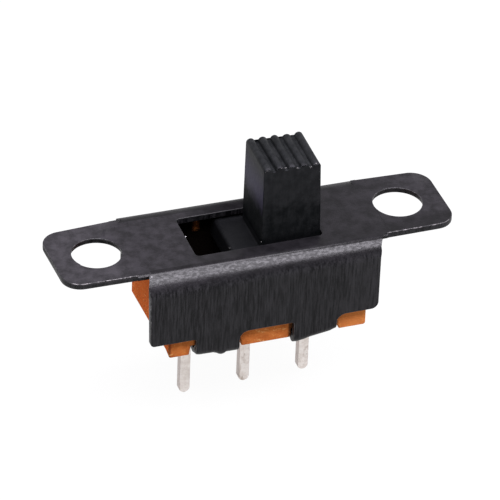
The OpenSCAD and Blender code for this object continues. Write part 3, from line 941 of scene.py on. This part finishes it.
def fleck_tree(material):
    """Node tree that strews a few small flecks, chips and painted glints, about each point of a
    mesh.
    """
    tree = bpy.data.node_groups.new("pale_flecks", "GeometryNodeTree")
    sockets = tree.interface
    sockets.new_socket("Geometry", in_out="INPUT", socket_type="NodeSocketGeometry")
    for name, kind in (("Count", "NodeSocketInt"), ("Reach", "NodeSocketFloat"),
                       ("Size", "NodeSocketFloat"), ("Seed", "NodeSocketInt")):
        sockets.new_socket(name, in_out="INPUT", socket_type=kind)
    sockets.new_socket("Geometry", in_out="OUTPUT", socket_type="NodeSocketGeometry")
    add = tree.nodes.new
    given, result = add("NodeGroupInput"), add("NodeGroupOutput")
    points, copies = add("GeometryNodeMeshToPoints"), add("GeometryNodeDuplicateElements")
    copies.domain = "POINT"
    seed = given.outputs["Seed"]
    spread = random_vector(tree, FLECK_SPREAD, seed)
    stretch = random_vector(tree, FLECK_STRETCH, seed)
    turn = random_vector(tree, FLECK_TURN, seed)
    reach, shift = add("ShaderNodeVectorMath"), add("GeometryNodeSetPosition")
    reach.operation = "SCALE"
    fleck_shape, strewn = add("GeometryNodeMeshIcoSphere"), add("GeometryNodeInstanceOnPoints")
    fleck_shape.inputs["Subdivisions"].default_value = 2
    real, coat = add("GeometryNodeRealizeInstances"), add("GeometryNodeSetMaterial")
    coat.inputs["Material"].default_value = material
    for start, out, end, into in (
            (given, "Geometry", points, "Mesh"),
            (points, "Points", copies, "Geometry"),
            (given, "Count", copies, "Amount"),
            (copies, "Geometry", shift, "Geometry"),
            (spread, "Value", reach, 0),
            (given, "Reach", reach, "Scale"),
            (reach, "Vector", shift, "Offset"),
            (shift, "Geometry", strewn, "Points"),
            (given, "Size", fleck_shape, "Radius"),
            (fleck_shape, "Mesh", strewn, "Instance"),
            (stretch, "Value", strewn, "Scale"),
            (turn, "Value", strewn, "Rotation"),
            (strewn, "Instances", real, "Geometry"),
            (real, "Geometry", coat, "Geometry"),
            (coat, "Geometry", result, "Geometry")):
        tree.links.new(start.outputs[out], end.inputs[into])
    return tree


def strew_flecks(name, spots, tree, settings, body):
    """Flecks about the given spots (mm), made by the tree and kept as a plain mesh."""
    mesh = bpy.data.meshes.new(name)
    mesh.from_pydata([[c * MM for c in spot] for spot in spots], [], [])
    piece = bpy.data.objects.new(name, mesh)
    bpy.context.scene.collection.objects.link(piece)
    strewing = piece.modifiers.new("pale_flecks", "NODES")
    strewing.node_group = tree
    for item in tree.interface.items_tree:
        if item.in_out == "INPUT" and item.name in settings:
            strewing[item.identifier] = settings[item.name]
    bpy.context.view_layer.update()
    seen = piece.evaluated_get(bpy.context.evaluated_depsgraph_get())
    piece.data = bpy.data.meshes.new_from_object(seen)
    piece.modifiers.clear()
    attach(piece, body)


# Where the knob's edges are chipped, and where painted glints sit on the carriage's end and on the
# sheet, at the slot's edge and the fold's end (mm)
KNOB_CHIPS_AND_GLINT = [(0.36, -1.32, 4.01), (0.26, -1.33, 3.97), (1.04, -1.31, 4.00), (1.24, -1.31, 3.99),
              (1.80, -1.33, 3.88), (2.48, -1.33, 3.83), (2.76, -1.31, 3.94), (0.18, -1.37, 0.04),
              # Painted glint on the carriage's end
              (-1.12, -0.70, -0.52)]
# Painted glints: pale flecks where light glints on the sheet
SHEET_GLINTS = [(-3.09, 0.07, -0.01), (-5.59, -2.47, -0.10)]
# How many flecks lie about each spot, how far from it, and how big they are
KNOB_STREWING = {"Count": 4, "Reach": 0.05 * MM, "Size": 0.022 * MM, "Seed": 5}
SHEET_STREWING = {"Count": 3, "Reach": 0.03 * MM, "Size": 0.03 * MM, "Seed": 2}
CHIP_AND_GLINT_PLASTIC = (0.16, 0.155, 0.15)
# Pale colour of the painted glints on the sheet
GLINT_STEEL = (0.5, 0.49, 0.5)
# How wide each piece's rounded edges are (mm)
SHEET_EDGE = 0.03
BASE_EDGE = 0.05
LEG_EDGE = 0.05
KNOB_EDGE = 0.035


def dress():
    """Every piece of the switch in its finish, with its chips and its painted glints."""
    steel, worn = black_steel(), worn_steel()
    brown, silver, black = phenolic(), plating(), black_plastic()
    pale, painted_light = fleck_finish("chip_and_glint_plastic", CHIP_AND_GLINT_PLASTIC), fleck_finish("glint_steel", GLINT_STEEL)
    finished_copy("mounting_frame", "frame_sheet", [steel, worn], SHEET_EDGE, shape_sheet,
                  edge_slot=1, stay_sharp=at_fold_root)
    finished_copy("base", "base_moulding", [brown], BASE_EDGE, shape_base)
    for side in ("left", "middle", "right"):
        finished_copy("terminal_" + side, "terminal_leg_" + side, [silver], LEG_EDGE,
                      shape_pin(side))
    finished_copy("slider", "knob_moulding", [black], KNOB_EDGE, shape_knob)
    strew_flecks("knob_chips_and_glint", KNOB_CHIPS_AND_GLINT, fleck_tree(pale), KNOB_STREWING, "actuator")
    # Painted glints on the sheet
    strew_flecks("sheet_glints", SHEET_GLINTS, fleck_tree(painted_light), SHEET_STREWING, "housing")
    clip = frame["nodes"]["contact_clip"]
    clip.data.materials.clear()
    clip.data.materials.append(bronze())


def make_camera():
    """Camera at the photograph's viewing angle, turned by its small roll."""
    a, e, r = CAMERA_AZIMUTH, CAMERA_ELEVATION, CAMERA_ROLL
    back = Vector((-math.sin(a) * math.cos(e), -math.cos(a) * math.cos(e), math.sin(e)))
    level = Vector((math.cos(a), -math.sin(a), 0.0))
    upright = back.cross(level)
    right = math.cos(r) * level - math.sin(r) * upright
    up = math.sin(r) * level + math.cos(r) * upright
    data = bpy.data.cameras.new("camera")
    data.sensor_width = SENSOR_MM
    data.lens = FOCAL_PX / PICTURE_PX * SENSOR_MM
    data.clip_start, data.clip_end = CAMERA_CLIP
    camera = bpy.data.objects.new("camera", data)
    bpy.context.scene.collection.objects.link(camera)
    turn = Matrix((right, up, back)).transposed().to_4x4()
    place = CAMERA_RIGHT * right + CAMERA_UP * up + CAMERA_DISTANCE * back
    camera.matrix_world = Matrix.Translation(place) @ turn
    bpy.context.scene.camera = camera


def make_floor():
    """Plain pale lit table just under the terminals' tips."""
    z = cad_box[0][2] - TABLE_GAP
    half = TABLE_HALF
    mesh = bpy.data.meshes.new("floor")
    mesh.from_pydata([(-half, -half, z), (half, -half, z), (half, half, z), (-half, half, z)],
                     [], [(0, 1, 2, 3)])
    floor = bpy.data.objects.new("floor", mesh)
    bpy.context.scene.collection.objects.link(floor)
    s = Shader("lit_table")
    mesh.materials.append(s.finish(
        Base_Color=(TABLE_COLOUR, TABLE_COLOUR, TABLE_COLOUR, 1.0), Roughness=0.9,
        Specular_IOR_Level=0.1, Emission_Color=(1.0, 1.0, 1.0, 1.0), Emission_Strength=TABLE_GLOW))


def make_softbox():
    """One large soft light overhead, towards the front."""
    data = bpy.data.lights.new("softbox", "AREA")
    data.shape = "RECTANGLE"
    data.size = SOFTBOX_X[1] - SOFTBOX_X[0]
    data.size_y = SOFTBOX_Y[1] - SOFTBOX_Y[0]
    data.energy = SOFTBOX_RADIANCE * math.pi * data.size * data.size_y
    data.color = SOFTBOX_TINT
    softbox = bpy.data.objects.new("softbox", data)
    softbox.location = (sum(SOFTBOX_X) / 2, sum(SOFTBOX_Y) / 2, SOFTBOX_HEIGHT)
    bpy.context.scene.collection.objects.link(softbox)


def make_surround():
    """Studio walls: dim in front and overhead, bright low down behind the part."""
    world = bpy.data.worlds.new("surround")
    bpy.context.scene.world = world
    world.use_nodes = True
    add, join = world.node_tree.nodes.new, world.node_tree.links.new
    background = world.node_tree.nodes["Background"]
    background.inputs["Color"].default_value = (1.0, 1.0, 1.0, 1.0)
    toward, parts = add("ShaderNodeTexCoord"), add("ShaderNodeSeparateXYZ")
    join(toward.outputs["Generated"], parts.inputs[0])
    both, level = add("ShaderNodeMath"), add("ShaderNodeMapRange")
    both.operation = "MULTIPLY"
    for index, (letter, run) in enumerate((("Y", BEHIND_RUN), ("Z", LOW_RUN))):
        ramp = add("ShaderNodeMapRange")
        ramp.interpolation_type = "SMOOTHSTEP"
        ramp.inputs["From Min"].default_value, ramp.inputs["From Max"].default_value = run
        join(parts.outputs[letter], ramp.inputs["Value"])
        join(ramp.outputs["Result"], both.inputs[index])
    level.inputs["To Min"].default_value = FRONT_SURROUND
    level.inputs["To Max"].default_value = BACK_SURROUND
    join(both.outputs[0], level.inputs["Value"])
    join(level.outputs["Result"], background.inputs["Strength"])


make_camera()
dress()
make_floor()
make_softbox()
make_surround()
bpy.context.scene.view_settings.view_transform = "Standard"
